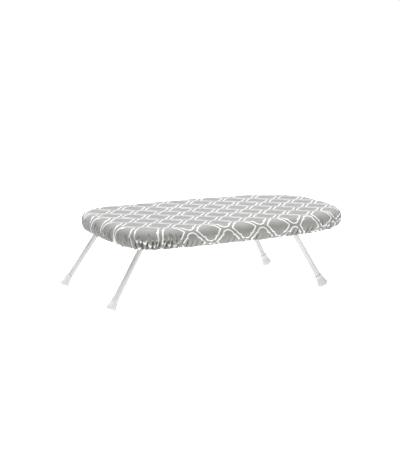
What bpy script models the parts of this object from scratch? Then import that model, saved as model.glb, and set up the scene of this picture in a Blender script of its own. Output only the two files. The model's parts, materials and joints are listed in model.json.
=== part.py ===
"""Tabletop ironing board: a padded, covered steel deck on two fold-away leg frames.

Metres, +Z up. X runs along the board, with the narrow nose at +X. Y = 0 is the plane of symmetry,
and the feet stand on Z = 0. The origin is on the floor, under the middle of the whole object,
feet included.
"""

import math

import bmesh
import bpy
import numpy as np
from mathutils import Matrix, Vector

# ------------------------------------------------------------------ driving dimensions
BOARD_LENGTH = 0.5994
BOARD_WIDTH = 0.3632
TOP_HEIGHT = 0.1803
BOARD_X = 0.0212  # middle of the board: the left feet stand out past its end
HALF_LENGTH = BOARD_LENGTH / 2
HALF_WIDTH = BOARD_WIDTH / 2

# The outline is two superellipse halves, which meet where the board is widest.
HEEL_REACH = 0.147
HEEL_POWER = 3.7
NOSE_REACH = BOARD_LENGTH - HEEL_REACH
NOSE_POWER = 3.65
STATIONS = 32  # spaces along each half of the outline

GAP = 0.0003  # between pieces that touch

COVER_THICKNESS = 0.0012
PAD_THICKNESS = 0.009
DECK_THICKNESS = 0.0012
RIM_RADIUS = 0.008
HEM_INSET = 0.022
HEM_Z = 0.1365
ELASTIC_RADIUS = 0.0018
ELASTIC_INSET = 0.0032  # in from the hem's edge
ELASTIC_RISE = 0.0042  # up from the hem's edge
PAD_LIP_DROP = 0.004  # how far the pad reaches below the rim's middle
PAD_LIP_SETBACK = 0.0012  # clears the cover, which already curves in there
PAD_HOLLOW_SPREAD = 1.04  # keeps the flats of the pad's hollow clear of the rim between its corners
PAD_HOLLOW_START = 112  # degrees round the rim at which the hollow begins, 90 being its top

PAD_TOP_Z = TOP_HEIGHT - COVER_THICKNESS - GAP
DECK_TOP_Z = PAD_TOP_Z - PAD_THICKNESS - GAP
DECK_BOTTOM_Z = DECK_TOP_Z - DECK_THICKNESS
RIM_Z = DECK_BOTTOM_Z - GAP - RIM_RADIUS
EDGE_RADIUS = TOP_HEIGHT - RIM_Z  # the cover's rounded edge is centred on the rim
DECK_INSET = EDGE_RADIUS - 0.003

SHEET = 0.0012  # steel of the channels and saddles
TUBE_RADIUS = 0.00635
BEND_RADIUS = 0.018
PIVOT_Z = 0.1485
BEND_STEPS = 6
CROSSBAR_CLEARANCE = 0.0004  # under the crossbar, in its saddles
CROSSBAR_HEADROOM = 0.0006  # and above it, to the channel's web

# Each leg frame: where its crossbar lies, how far its legs lean out, and half the length of its channel.
# side is -1 at the heel end and +1 at the nose end.
LEG_SPLAY = math.radians(7.0)
LEG_TOP_Y = 0.1163  # where the legs' centre lines meet the crossbar's
FRAMES = {
    "left": {"side": -1, "pivot_x": -0.2375, "lean": math.radians(33.8), "channel_half": 0.110},
    "right": {"side": 1, "pivot_x": 0.1364, "lean": math.radians(29.1), "channel_half": 0.130},
}

CHANNEL_HALF_WEB = 0.0195
CHANNEL_HALF_TOP = 0.0215
CHANNEL_HALF_WIDTH = 0.0300
WEB_BOTTOM_Z = PIVOT_Z + TUBE_RADIUS + CROSSBAR_HEADROOM

SADDLE_Y = 0.083
SADDLE_WIDTH = 0.018
SADDLE_HALF_LENGTH = 0.0190
SADDLE_BEND_RADIUS = TUBE_RADIUS + CROSSBAR_CLEARANCE + SHEET / 2
SADDLE_FLANGE_START = SADDLE_BEND_RADIUS + 0.0006  # the flanges begin a little outside the bend

RIVET_OFFSET = 0.0135  # from the crossbar to each saddle rivet
RIVET_SHANK_RADIUS = 0.0016
RIVET_HOLE_RADIUS = 0.0019
RIVET_HEAD_RADIUS = 0.0034
RIVET_HEAD_HEIGHT = 0.0014
RIVET_HEAD_EDGE = 0.0003  # height of the head's upright rim
RIVET_HOLE_LENGTH = 0.008  # of the cutter, longer than any stack it goes through
RIVET_TAIL_RADIUS = 0.0027
RIVET_TAIL_HEIGHT = 0.0010
CLIP_RIVET_TAIL_HEIGHT = 0.0001  # hammered flat, because the pad lies on it

TANG_REACH = 0.0175
TANG_THICKNESS = 0.003
TANG_WIDTH = 0.026
TANG_CLEARANCE = 0.0002  # between its curved root and the crossbar
TANG_ROOT = (24, 84)  # degrees round the crossbar that the root covers, 90 being its top

CLIP_LENGTH = 0.014
CLIP_WALL = 0.0026
CLIP_CLEARANCE = 0.0004
CLIP_AT = 0.70  # share of the leg's reach at which the clip holds it
CLIP_FLANGE_REACH = 0.0235
CLIP_FLANGE_THICKNESS = 0.0025
CLIP_STEM_HALF = 0.0065
CLIP_SHOULDER_RISE = 0.0115  # above the tube's middle: where the fork has narrowed to its stem
CLIP_CHEEK_RISE = 0.0060  # and where it begins to
CLIP_MOUTH_DROP = 0.0025
CLIP_RIVET_FROM_TIP = 0.0055

CAP_LENGTH = 0.029
CAP_SOCKET_DEPTH = 0.022
CAP_FLARE_RADIUS = 0.0120
CAP_COLLAR_RADIUS = 0.0082
CAP_LIP = 0.0008  # height of the bevel round the collar's open end
CAP_LIP_SETBACK = 0.0005
CAP_SIDES = 24
# The cap's outside, down from its collar: how much wider than the collar, then how much narrower
# than the flare, each with its height above the end.
CAP_WAIST = ((0.0, 0.0205), (0.0006, 0.0175))
CAP_BELL = ((0.0016, 0.0105), (0.0002, 0.0070), (0.0, 0.0045), (0.0006, 0.0024), (0.0022, 0.0010))
PATCH_DEPTH = 0.0005  # how much of a cap's rounded edge is flat against the floor

COLOURS = {
    "cover_cotton": ((0.42, 0.42, 0.40, 1), 0.9, 0.0),
    "elastic": ((0.72, 0.70, 0.64, 1), 0.9, 0.0),
    "felt": ((0.70, 0.69, 0.66, 1), 0.95, 0.0),
    "deck_steel": ((0.62, 0.63, 0.64, 1), 0.45, 1.0),
    "painted_steel": ((0.82, 0.82, 0.83, 1), 0.35, 0.0),
    "rivet_steel": ((0.60, 0.60, 0.61, 1), 0.3, 1.0),
    "cap_plastic": ((0.86, 0.86, 0.86, 1), 0.5, 0.0),
    "clip_plastic": ((0.84, 0.84, 0.83, 1), 0.5, 0.0),
}


# ------------------------------------------------------------------ scene and helpers
def empty_scene():
    for old in list(bpy.data.objects):
        bpy.data.objects.remove(old, do_unlink=True)


def new_collection(name):
    collection = bpy.data.collections.new(name)
    bpy.context.scene.collection.children.link(collection)
    return collection


def material(name):
    found = bpy.data.materials.get(name)
    if found:
        return found
    colour, roughness, metallic = COLOURS[name]
    made = bpy.data.materials.new(name)
    made.use_nodes = True
    shader = made.node_tree.nodes["Principled BSDF"]
    shader.inputs["Base Color"].default_value = colour
    shader.inputs["Roughness"].default_value = roughness
    shader.inputs["Metallic"].default_value = metallic
    made.diffuse_color = colour
    return made


def add_object(name, data, material_name, collection, parent=None):
    piece = bpy.data.objects.new(name, data)
    collection.objects.link(piece)
    piece.parent = parent
    if material_name:
        data.materials.append(material(material_name))
    return piece


def mesh_from(bm, name):
    """A smooth-shaded mesh with sharp edges kept, its faces pointing out."""
    bmesh.ops.recalc_face_normals(bm, faces=bm.faces)
    mesh = bpy.data.meshes.new(name)
    bm.to_mesh(mesh)
    bm.free()
    mesh.shade_smooth()
    mesh.set_sharp_from_angle(angle=math.radians(35))
    return mesh


def make_cutter(piece):
    piece.hide_render = True
    piece.display_type = "WIRE"


def cut(piece, cutter):
    modifier = piece.modifiers.new("cut_" + cutter.name, "BOOLEAN")
    modifier.operation = "DIFFERENCE"
    modifier.solver = "EXACT"
    modifier.object = cutter


def solidify(piece, thickness, offset):
    modifier = piece.modifiers.new("thickness", "SOLIDIFY")
    modifier.thickness = thickness
    modifier.offset = offset
    modifier.use_even_offset = True


def tube(name, points, radius, sides, material_name, collection, parent=None, closed=False):
    """A tube as a bevelled curve through points, with its ends filled; sides is even, 4 or more."""
    curve = bpy.data.curves.new(name, "CURVE")
    curve.dimensions = "3D"
    curve.bevel_depth = radius
    curve.bevel_resolution = (sides - 4) // 2
    curve.use_fill_caps = True
    spline = curve.splines.new("POLY")
    spline.points.add(len(points) - 1)
    for control, place in zip(spline.points, points):
        control.co = (*place, 1.0)
    spline.use_cyclic_u = closed
    spline.use_smooth = True
    return add_object(name, curve, material_name, collection, parent)


def turned(name, profile, sides, material_name, collection, parent=None):
    """A turned piece: profile is (radius, height) points from the axis, round the section and back to it."""
    mesh = bpy.data.meshes.new(name)
    places = [(radius, 0.0, height) for radius, height in profile]
    mesh.from_pydata(places, [(i, i + 1) for i in range(len(places) - 1)], [])
    piece = add_object(name, mesh, material_name, collection, parent)
    screw = piece.modifiers.new("turn", "SCREW")
    screw.axis = "Z"
    screw.steps = sides
    screw.render_steps = sides
    screw.use_merge_vertices = True
    screw.merge_threshold = 0.00001
    screw.use_smooth_shade = True
    return piece


def prism(name, section, half_width, material_name, collection, parent=None):
    """A closed (x, z) section drawn out along Y to both sides."""
    bm = bmesh.new()
    near = [bm.verts.new((x, -half_width, z)) for x, z in section]
    far = [bm.verts.new((x, half_width, z)) for x, z in section]
    count = len(section)
    bm.faces.new(near)
    bm.faces.new(far[::-1])
    for i in range(count):
        j = (i + 1) % count
        bm.faces.new((near[i], far[i], far[j], near[j]))
    return add_object(name, mesh_from(bm, name), material_name, collection, parent)


def pressed_strip(name, line, half_width, material_name, collection):
    """Sheet steel folded along an open (x, z) line, which is the middle of its thickness."""
    bm = bmesh.new()
    near = [bm.verts.new((x, -half_width, z)) for x, z in line]
    far = [bm.verts.new((x, half_width, z)) for x, z in line]
    for i in range(len(line) - 1):
        bm.faces.new((near[i], near[i + 1], far[i + 1], far[i]))
    piece = add_object(name, mesh_from(bm, name), material_name, collection)
    solidify(piece, SHEET, 0.0)
    return piece


def arc(centre, radius, start, end, steps):
    """Points on an arc, angles in degrees, both ends included."""
    angles = [math.radians(start + (end - start) * i / steps) for i in range(steps + 1)]
    return [(centre[0] + radius * math.cos(a), centre[1] + radius * math.sin(a)) for a in angles]


# ------------------------------------------------------------------ the board's outline
def half_outline():
    """Evenly spaced (point, outward normal) pairs along the +Y half, from the heel to the nose."""
    dense = 1500
    turn = np.linspace(0.0, math.pi / 2, dense)
    points = []
    normals = []
    for side, reach, power in ((-1, HEEL_REACH, HEEL_POWER), (1, NOSE_REACH, NOSE_POWER)):
        along = np.cos(turn) ** (2 / power)
        across = np.sin(turn) ** (2 / power)
        x = side * (HALF_LENGTH - reach * (1 - along))
        y = HALF_WIDTH * across
        normal = np.stack([side * along ** (power - 1) / reach, across ** (power - 1) / HALF_WIDTH], axis=1)
        normal /= np.linalg.norm(normal, axis=1)[:, None]
        order = slice(None) if side < 0 else slice(None, None, -1)
        points.append(np.stack([x, y], axis=1)[order])
        normals.append(normal[order])
    points = np.concatenate(points)
    normals = np.concatenate(normals)
    steps = np.linalg.norm(np.diff(points, axis=0), axis=1)
    travelled = np.concatenate([[0.0], np.cumsum(steps)])
    wanted = np.linspace(0.0, travelled[-1], STATIONS + 1)
    even = [np.interp(wanted, travelled, column) for column in (*points.T, *normals.T)]
    return [((px, py), (nx, ny)) for px, py, nx, ny in zip(*even)]


HALF_OUTLINE = half_outline()


def ring(inset, z):
    """The whole outline moved inward by inset, at height z."""
    half = [(px - inset * nx, py - inset * ny) for (px, py), (nx, ny) in HALF_OUTLINE]
    half[0] = (half[0][0], 0.0)
    half[-1] = (half[-1][0], 0.0)
    whole = half + [(x, -y) for x, y in half[-2:0:-1]]
    return [(BOARD_X + x, y, z) for x, y in whole]


def loft(name, profile, close_start, close_end):
    """A surface through rings of the outline: profile is (inset, z) points."""
    bm = bmesh.new()
    rings = [[bm.verts.new(place) for place in ring(inset, z)] for inset, z in profile]
    count = len(rings[0])
    for lower, upper in zip(rings, rings[1:]):
        for i in range(count):
            j = (i + 1) % count
            bm.faces.new((lower[i], lower[j], upper[j], upper[i]))
    if close_start:
        bm.faces.new(rings[0][::-1])
    if close_end:
        bm.faces.new(rings[-1])
    return mesh_from(bm, name)


# ------------------------------------------------------------------ soft pieces
def edge_profile(depth, lowest_z):
    """The cover's side from the flat top down, moved in by depth: round edge, then a curve in to the hem."""
    radius = EDGE_RADIUS - depth
    points = [(EDGE_RADIUS - u, RIM_Z + v) for u, v in arc((0, 0), radius, 90, 0, 4)]
    drop = RIM_Z - HEM_Z
    for step in range(1, 5):
        angle = math.radians(90 * step / 4)
        inset = depth + (HEM_INSET - depth) * (1 - math.cos(angle))
        z = RIM_Z - drop * math.sin(angle)
        if z < lowest_z:
            break
        points.append((inset, z))
    return points


def make_cover(collection):
    mesh = loft("cover", edge_profile(0.0, 0.0)[::-1], False, True)
    piece = add_object("cover", mesh, "cover_cotton", collection)
    solidify(piece, COVER_THICKNESS, -1.0)


def make_pad(collection):
    depth = COVER_THICKNESS + GAP
    lip_z = RIM_Z - PAD_LIP_DROP
    outside = edge_profile(depth, RIM_Z)
    hollow = RIM_RADIUS + GAP
    inside = [(DECK_INSET - GAP, DECK_TOP_Z + GAP)]
    spread = hollow * PAD_HOLLOW_SPREAD
    inside += arc((EDGE_RADIUS, RIM_Z), spread, PAD_HOLLOW_START, 180, 4)
    lip = [(EDGE_RADIUS - spread, lip_z), (depth + PAD_LIP_SETBACK, lip_z)]
    mesh = loft("felt_pad", inside + lip + outside[::-1], True, True)
    add_object("felt_pad", mesh, "felt", collection)


def make_hem_elastic(collection):
    path = ring(HEM_INSET + ELASTIC_INSET, HEM_Z + ELASTIC_RISE)
    tube("hem_elastic", path, ELASTIC_RADIUS, 6, "elastic", collection, closed=True)


# ------------------------------------------------------------------ deck and its frame
def make_deck(collection, cutter_collection):
    mesh = loft("deck_sheet", [(DECK_INSET, DECK_BOTTOM_Z), (DECK_INSET, DECK_TOP_Z)], True, True)
    piece = add_object("deck_sheet", mesh, "deck_steel", collection)
    places = [clip_rivet_place(frame, y_side) for frame in FRAMES.values() for y_side in (-1, 1)]
    for number, (x, y) in enumerate(places):
        cut(piece, rivet_hole(f"deck_hole_{number}", x, y, DECK_BOTTOM_Z, cutter_collection))


def make_rim(collection):
    tube("rim_tube", ring(EDGE_RADIUS, RIM_Z), RIM_RADIUS, 10, "painted_steel", collection, closed=True)


def rivet_hole(name, x, y, z, cutter_collection):
    mesh = bpy.data.meshes.get("rivet_hole")
    if mesh is None:
        bm = bmesh.new()
        radius = RIVET_HOLE_RADIUS
        bmesh.ops.create_cone(
            bm, cap_ends=True, segments=12, radius1=radius, radius2=radius, depth=RIVET_HOLE_LENGTH
        )
        mesh = bpy.data.meshes.new("rivet_hole")
        bm.to_mesh(mesh)
        bm.free()
    piece = add_object(name, mesh, None, cutter_collection)
    piece.location = (x, y, z)
    make_cutter(piece)
    return piece


def rivet_profile(grip, tail_height):
    """(radius, height) down from the clinched tail to the head; grip is the thickness held between them."""
    shank = RIVET_SHANK_RADIUS
    top = grip / 2 + tail_height
    base = -grip / 2
    crown = (RIVET_HEAD_RADIUS * 0.72, base - RIVET_HEAD_HEIGHT * 0.85)
    return [
        (0.0, top),
        (RIVET_TAIL_RADIUS * 0.8, top),
        (RIVET_TAIL_RADIUS, grip / 2),
        (shank, grip / 2),
        (shank, base),
        (RIVET_HEAD_RADIUS, base),
        (RIVET_HEAD_RADIUS, base - RIVET_HEAD_EDGE),
        crown,
        (0.0, base - RIVET_HEAD_HEIGHT),
    ]


def make_channel(name, frame, collection, cutter_collection):
    """A hat channel, its flanges against the deck and its web just above the crossbar."""
    flange_z = DECK_BOTTOM_Z - GAP - SHEET / 2
    web_z = WEB_BOTTOM_Z + SHEET / 2
    half = [(CHANNEL_HALF_WEB, web_z), (CHANNEL_HALF_TOP, flange_z), (CHANNEL_HALF_WIDTH, flange_z)]
    line = [(-x, z) for x, z in half[::-1]] + half
    piece = pressed_strip(f"{name}_channel", line, frame["channel_half"], "painted_steel", collection)
    x = BOARD_X + frame["pivot_x"]
    piece.location.x = x
    for number, (dx, y) in enumerate(saddle_rivet_places()):
        cut(piece, rivet_hole(f"{name}_channel_hole_{number}", x + dx, y, web_z, cutter_collection))


def saddle_rivet_places():
    return [(dx, y) for y in (-SADDLE_Y, SADDLE_Y) for dx in (-RIVET_OFFSET, RIVET_OFFSET)]


def make_saddles(name, frame, collection, cutter_collection):
    """Straps under the crossbar, riveted to the channel's web."""
    x = BOARD_X + frame["pivot_x"]
    flange_z = WEB_BOTTOM_Z - GAP - SHEET / 2
    line = [(-SADDLE_HALF_LENGTH, flange_z), (-SADDLE_FLANGE_START, flange_z)]
    line += arc((0.0, PIVOT_Z), SADDLE_BEND_RADIUS, 180, 360, 10)
    line += [(SADDLE_FLANGE_START, flange_z), (SADDLE_HALF_LENGTH, flange_z)]
    grip = 2 * SHEET + 3 * GAP
    for y_name, y_side in (("front", -1), ("rear", 1)):
        piece = pressed_strip(
            f"{name}_{y_name}_saddle", line, SADDLE_WIDTH / 2, "painted_steel", collection
        )
        piece.location = (x, y_side * SADDLE_Y, 0.0)
        for end_name, end in (("outer", frame["side"]), ("inner", -frame["side"])):
            place = (x + end * RIVET_OFFSET, y_side * SADDLE_Y, flange_z)
            hole_name = f"{name}_{y_name}_saddle_hole_{end_name}"
            cut(piece, rivet_hole(hole_name, *place, cutter_collection))
            profile = rivet_profile(grip, RIVET_TAIL_HEIGHT)
            rivet = turned(f"{name}_{y_name}_{end_name}_rivet", profile, 12, "rivet_steel", collection)
            rivet.location = (place[0], place[1], flange_z + SHEET / 2 + GAP / 2)


# ------------------------------------------------------------------ leg frames
def leg_reach(frame):
    """From the crossbar to the end of a foot cap, in the frame's plane, so that the board stands level."""
    upright = math.cos(frame["lean"]) * math.cos(LEG_SPLAY)
    slanted = math.sqrt(1 - upright**2)
    below_end = max(radius * slanted - height * upright for radius, height in cap_profile())
    return (PIVOT_Z - below_end + PATCH_DEPTH) / math.cos(frame["lean"])


def leg_end(frame):
    """Lateral place of the leg's end, in the frame's own plane."""
    return LEG_TOP_Y + leg_reach(frame) * math.tan(LEG_SPLAY)


def leg_path(frame):
    """The bent tube's centre line in the plane of the frame: Y across, -Z down the legs."""
    turn = math.pi / 2 - LEG_SPLAY
    tangent = BEND_RADIUS * math.tan(turn / 2)
    stop_short = CAP_LENGTH - CAP_SOCKET_DEPTH + GAP
    down = Vector((0.0, math.sin(LEG_SPLAY), -math.cos(LEG_SPLAY)))
    corner = Vector((0.0, LEG_TOP_Y, 0.0))
    along = leg_reach(frame) / math.cos(LEG_SPLAY) - stop_short
    half = [corner + down * along, corner + down * tangent]
    centre = Vector((0.0, LEG_TOP_Y - tangent, -BEND_RADIUS))
    for i in range(1, BEND_STEPS + 1):
        angle = turn * (1 - i / BEND_STEPS)
        half.append(centre + BEND_RADIUS * Vector((0.0, math.sin(angle), math.cos(angle))))
    mirrored = [Vector((0.0, -p.y, p.z)) for p in half[::-1]]
    return half + mirrored


def cap_profile():
    """(radius, height) of a foot cap, its end at height 0: collar, flare, rounded end, blind socket."""
    socket = TUBE_RADIUS + GAP
    floor = CAP_LENGTH - CAP_SOCKET_DEPTH
    outside = [
        (socket, CAP_LENGTH),
        (CAP_COLLAR_RADIUS - CAP_LIP_SETBACK, CAP_LENGTH),
        (CAP_COLLAR_RADIUS, CAP_LENGTH - CAP_LIP),
        *[(CAP_COLLAR_RADIUS + wider, height) for wider, height in CAP_WAIST],
        *[(CAP_FLARE_RADIUS - narrower, height) for narrower, height in CAP_BELL],
        (CAP_FLARE_RADIUS * 0.5, 0.0002),
        (0.0, 0.0),
    ]
    return [(0.0, floor), (socket, floor), *outside]


def make_leg_frame(name, frame, collection):
    pivot = bpy.data.objects.new(f"{name}_leg_pivot", None)
    collection.objects.link(pivot)
    pivot.location = (BOARD_X + frame["pivot_x"], 0.0, PIVOT_Z)
    pivot.rotation_euler = (0.0, -frame["side"] * frame["lean"], 0.0)
    path = leg_path(frame)
    tube(f"{name}_leg_frame", path, TUBE_RADIUS, 12, "painted_steel", collection, parent=pivot)
    floor = bpy.data.objects["floor_cutter"]
    for y_name, y_side in (("front", -1), ("rear", 1)):
        cap_name = f"{name}_{y_name}_cap"
        cap = turned(cap_name, cap_profile(), CAP_SIDES, "cap_plastic", collection, parent=pivot)
        cap.location = (0.0, y_side * leg_end(frame), -leg_reach(frame))
        cap.rotation_euler = (y_side * LEG_SPLAY, 0.0, 0.0)
        cut(cap, floor)
    make_tang(name, frame, collection)


def make_tang(name, frame, collection):
    """A plate welded along the crossbar: level when the legs are open, it bears on the channel's web."""
    side = frame["side"]
    top = WEB_BOTTOM_Z - GAP - PIVOT_Z
    bottom = top - TANG_THICKNESS
    hug = TUBE_RADIUS + TANG_CLEARANCE
    root = arc((0.0, 0.0), hug, *TANG_ROOT, 5)
    section = [(TANG_REACH, bottom), (TANG_REACH, top), (hug * 0.25, top), *root[::-1]]
    section = [(side * u, v) for u, v in section]
    piece = prism(f"{name}_stop_tang", section, TANG_WIDTH / 2, "painted_steel", collection)
    piece.location = (BOARD_X + frame["pivot_x"], 0.0, PIVOT_Z)


def make_floor_cutter(cutter_collection):
    """Everything below the floor: it leaves each foot cap a flat patch to stand on."""
    bm = bmesh.new()
    bmesh.ops.create_cube(bm, size=1.0)
    depth = 0.05
    bmesh.ops.scale(bm, vec=(1.0, 0.6, depth), verts=bm.verts)
    bmesh.ops.translate(bm, vec=(0.0, 0.0, -depth / 2), verts=bm.verts)
    mesh = bpy.data.meshes.new("floor_cutter")
    bm.to_mesh(mesh)
    bm.free()
    make_cutter(add_object("floor_cutter", mesh, None, cutter_collection))


# ------------------------------------------------------------------ clips for the folded legs
def clip_place(frame, y_side):
    """Where the folded leg passes through its clip: a point on the leg's centre line, in the level plane."""
    down_leg = leg_reach(frame) * CLIP_AT
    x = BOARD_X + frame["pivot_x"] - frame["side"] * down_leg
    y = y_side * (LEG_TOP_Y + down_leg * math.tan(LEG_SPLAY))
    return x, y


def clip_turn(frame, y_side):
    """Angle about Z that lines the clip up with the folded leg."""
    return -frame["side"] * y_side * LEG_SPLAY


def clip_rivet_place(frame, y_side):
    x, y = clip_place(frame, y_side)
    turn = clip_turn(frame, y_side)
    offset = Matrix.Rotation(turn, 2) @ Vector((0.0, -y_side * (CLIP_FLANGE_REACH - CLIP_RIVET_FROM_TIP)))
    return x + offset.x, y + offset.y


def clip_section():
    """(across, z) outline of the clip: a fork open downward, a stem to the deck, a flange for the rivet."""
    hold = TUBE_RADIUS + CLIP_CLEARANCE
    outer = hold + CLIP_WALL
    top = DECK_BOTTOM_Z - GAP
    fork = arc((0.0, PIVOT_Z), hold, 180, 0, 10)
    low = PIVOT_Z - CLIP_MOUTH_DROP
    cheek = PIVOT_Z + CLIP_CHEEK_RISE
    shoulder = PIVOT_Z + CLIP_SHOULDER_RISE
    stem = CLIP_STEM_HALF
    return [
        (-hold, low),
        *fork,
        (hold, low),
        (outer, low),
        (outer, cheek),
        (stem, shoulder),
        (stem, top - CLIP_FLANGE_THICKNESS),
        (CLIP_FLANGE_REACH, top - CLIP_FLANGE_THICKNESS),
        (CLIP_FLANGE_REACH, top),
        (-stem, top),
        (-stem, shoulder),
        (-outer, cheek),
        (-outer, low),
    ]


def make_clips(name, frame, collection, cutter_collection):
    for y_name, y_side in (("front", -1), ("rear", 1)):
        section = [(-y_side * across, z) for across, z in clip_section()]
        clip = prism(f"{name}_{y_name}_clip", section, CLIP_LENGTH / 2, "clip_plastic", collection)
        x, y = clip_place(frame, y_side)
        clip.location = (x, y, 0.0)
        clip.rotation_euler = (0.0, 0.0, clip_turn(frame, y_side) + math.pi / 2)
        rivet_x, rivet_y = clip_rivet_place(frame, y_side)
        hole_z = DECK_BOTTOM_Z - GAP - CLIP_FLANGE_THICKNESS / 2
        cut(clip, rivet_hole(f"{name}_{y_name}_clip_hole", rivet_x, rivet_y, hole_z, cutter_collection))
        held_low = DECK_BOTTOM_Z - GAP - CLIP_FLANGE_THICKNESS - GAP / 2
        held_high = DECK_TOP_Z + GAP / 3
        profile = rivet_profile(held_high - held_low, CLIP_RIVET_TAIL_HEIGHT)
        rivet = turned(f"{name}_{y_name}_clip_rivet", profile, 12, "rivet_steel", collection)
        rivet.location = (rivet_x, rivet_y, (held_low + held_high) / 2)


# ------------------------------------------------------------------ assembly
def build():
    empty_scene()
    parts = new_collection("tabletop_ironing_board")
    cutters = new_collection("cutters")
    make_floor_cutter(cutters)
    make_cover(parts)
    make_pad(parts)
    make_hem_elastic(parts)
    make_deck(parts, cutters)
    make_rim(parts)
    for name, frame in FRAMES.items():
        make_channel(name, frame, parts, cutters)
        make_saddles(name, frame, parts, cutters)
        make_leg_frame(name, frame, parts)
        make_clips(name, frame, parts, cutters)


build()
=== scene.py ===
"""Looks of the tabletop ironing board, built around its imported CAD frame.

Metres, +Z up. X runs along the board with the narrow nose at +X. Every place comes from the frame:
the boxes of its nodes, its joints and the driving sizes below.
"""

import json
import math

import bmesh
import bpy
import numpy as np
from mathutils import Matrix, Vector


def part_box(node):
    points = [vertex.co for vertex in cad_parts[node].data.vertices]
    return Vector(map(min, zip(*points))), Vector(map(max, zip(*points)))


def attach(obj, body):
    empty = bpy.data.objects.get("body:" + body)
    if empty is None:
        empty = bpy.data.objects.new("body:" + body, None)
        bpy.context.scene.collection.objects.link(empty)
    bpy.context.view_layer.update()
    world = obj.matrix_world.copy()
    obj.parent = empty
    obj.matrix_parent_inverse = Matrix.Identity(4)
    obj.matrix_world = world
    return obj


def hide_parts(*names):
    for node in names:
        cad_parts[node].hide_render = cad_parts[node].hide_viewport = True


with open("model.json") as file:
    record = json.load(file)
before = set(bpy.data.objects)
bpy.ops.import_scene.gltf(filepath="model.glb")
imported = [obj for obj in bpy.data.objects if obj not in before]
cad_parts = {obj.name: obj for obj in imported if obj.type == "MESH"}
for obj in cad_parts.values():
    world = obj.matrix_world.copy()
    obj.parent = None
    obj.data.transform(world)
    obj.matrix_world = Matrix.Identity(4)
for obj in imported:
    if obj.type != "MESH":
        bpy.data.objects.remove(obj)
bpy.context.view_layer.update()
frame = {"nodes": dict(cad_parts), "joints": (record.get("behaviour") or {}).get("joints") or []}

# ------------------------------------------------------------------ sizes read from the frame
COVER_LOW, COVER_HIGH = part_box("cover")
RIM_LOW, RIM_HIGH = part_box("rim_tube")
DECK_LOW, DECK_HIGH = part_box("deck_sheet")
JOINTS = {joint["child"]: joint for joint in frame["joints"]}

TOP_Z = COVER_HIGH.z
HEM_Z = COVER_LOW.z
BOARD_X = (COVER_LOW.x + COVER_HIGH.x) / 2
HALF_LENGTH = (COVER_HIGH.x - COVER_LOW.x) / 2
HALF_WIDTH = (COVER_HIGH.y - COVER_LOW.y) / 2
RIM_Z = (RIM_LOW.z + RIM_HIGH.z) / 2
RIM_RADIUS = (RIM_HIGH.z - RIM_LOW.z) / 2
EDGE_RADIUS = TOP_Z - RIM_Z  # the cover's rounded edge is centred on the rim
HEM_INSET = 0.022
OUTLINE_COLUMNS = 160  # in half of the outline, for the padding, rim and deck

# The outline is two superellipse halves, which meet where the board is widest.
HEEL_REACH = 0.147
HEEL_POWER = 3.7
NOSE_REACH = 2 * HALF_LENGTH - HEEL_REACH
NOSE_POWER = 3.65

SEED = 11


# ------------------------------------------------------------------ camera
CAMERA_AZIMUTH = math.radians(-27.42)
CAMERA_ELEVATION = math.radians(11.6)
CAMERA_DISTANCE = 3.6428
CAMERA_LENS = 123.27
CAMERA_SHIFT = (-0.0349, 0.0511)


def make_camera():
    """Low, from in front of the wide end, through a long lens."""
    azimuth, elevation = CAMERA_AZIMUTH, CAMERA_ELEVATION
    back = Vector(
        (
            math.sin(azimuth) * math.cos(elevation),
            -math.cos(azimuth) * math.cos(elevation),
            math.sin(elevation),
        )
    )
    camera = bpy.data.objects.new("camera", bpy.data.cameras.new("camera"))
    bpy.context.scene.collection.objects.link(camera)
    camera.data.lens = CAMERA_LENS
    camera.data.sensor_width = 36.0
    camera.data.shift_x, camera.data.shift_y = CAMERA_SHIFT
    camera.location = Vector((BOARD_X, 0.0, TOP_Z / 2)) + back * CAMERA_DISTANCE
    camera.rotation_mode = "QUATERNION"
    camera.rotation_quaternion = back.to_track_quat("Z", "Y")
    camera.data.clip_end = 50.0
    bpy.context.scene.camera = camera


make_camera()


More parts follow.
